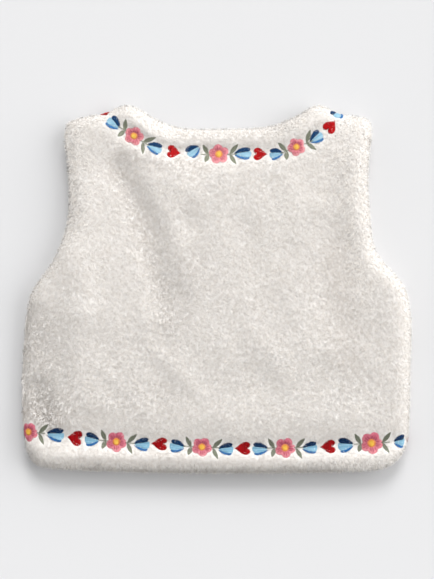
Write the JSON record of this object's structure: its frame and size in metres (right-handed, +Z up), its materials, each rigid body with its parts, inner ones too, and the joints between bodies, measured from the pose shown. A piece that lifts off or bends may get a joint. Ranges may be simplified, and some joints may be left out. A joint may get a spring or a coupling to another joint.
{
  "type": "fleece vest",
  "caption": "Toddler's sleeveless fleece vest laid flat with its back up, with turned edges, side and shoulder seams, and narrow pressed bands along its neck and hem.",
  "frame": {"origin": "on the surface the vest lies on, under the middle of its outline", "axes": "+X towards the wearer's right, +Y towards the neck, +Z up through the fronts and the back"},
  "size_m": [0.3004, 0.2846, 0.0214],
  "materials": {
    "back_fleece": "matte teddy pile",
    "front_left_fleece": "matte teddy pile",
    "front_right_fleece": "matte teddy pile",
    "embroidery": "glossy satin-stitch thread"
  },
  "bodies": {
    "root": {"back": "back_fleece", "front_left": "front_left_fleece", "front_right": "front_right_fleece"}
  },
  "joints": []
}
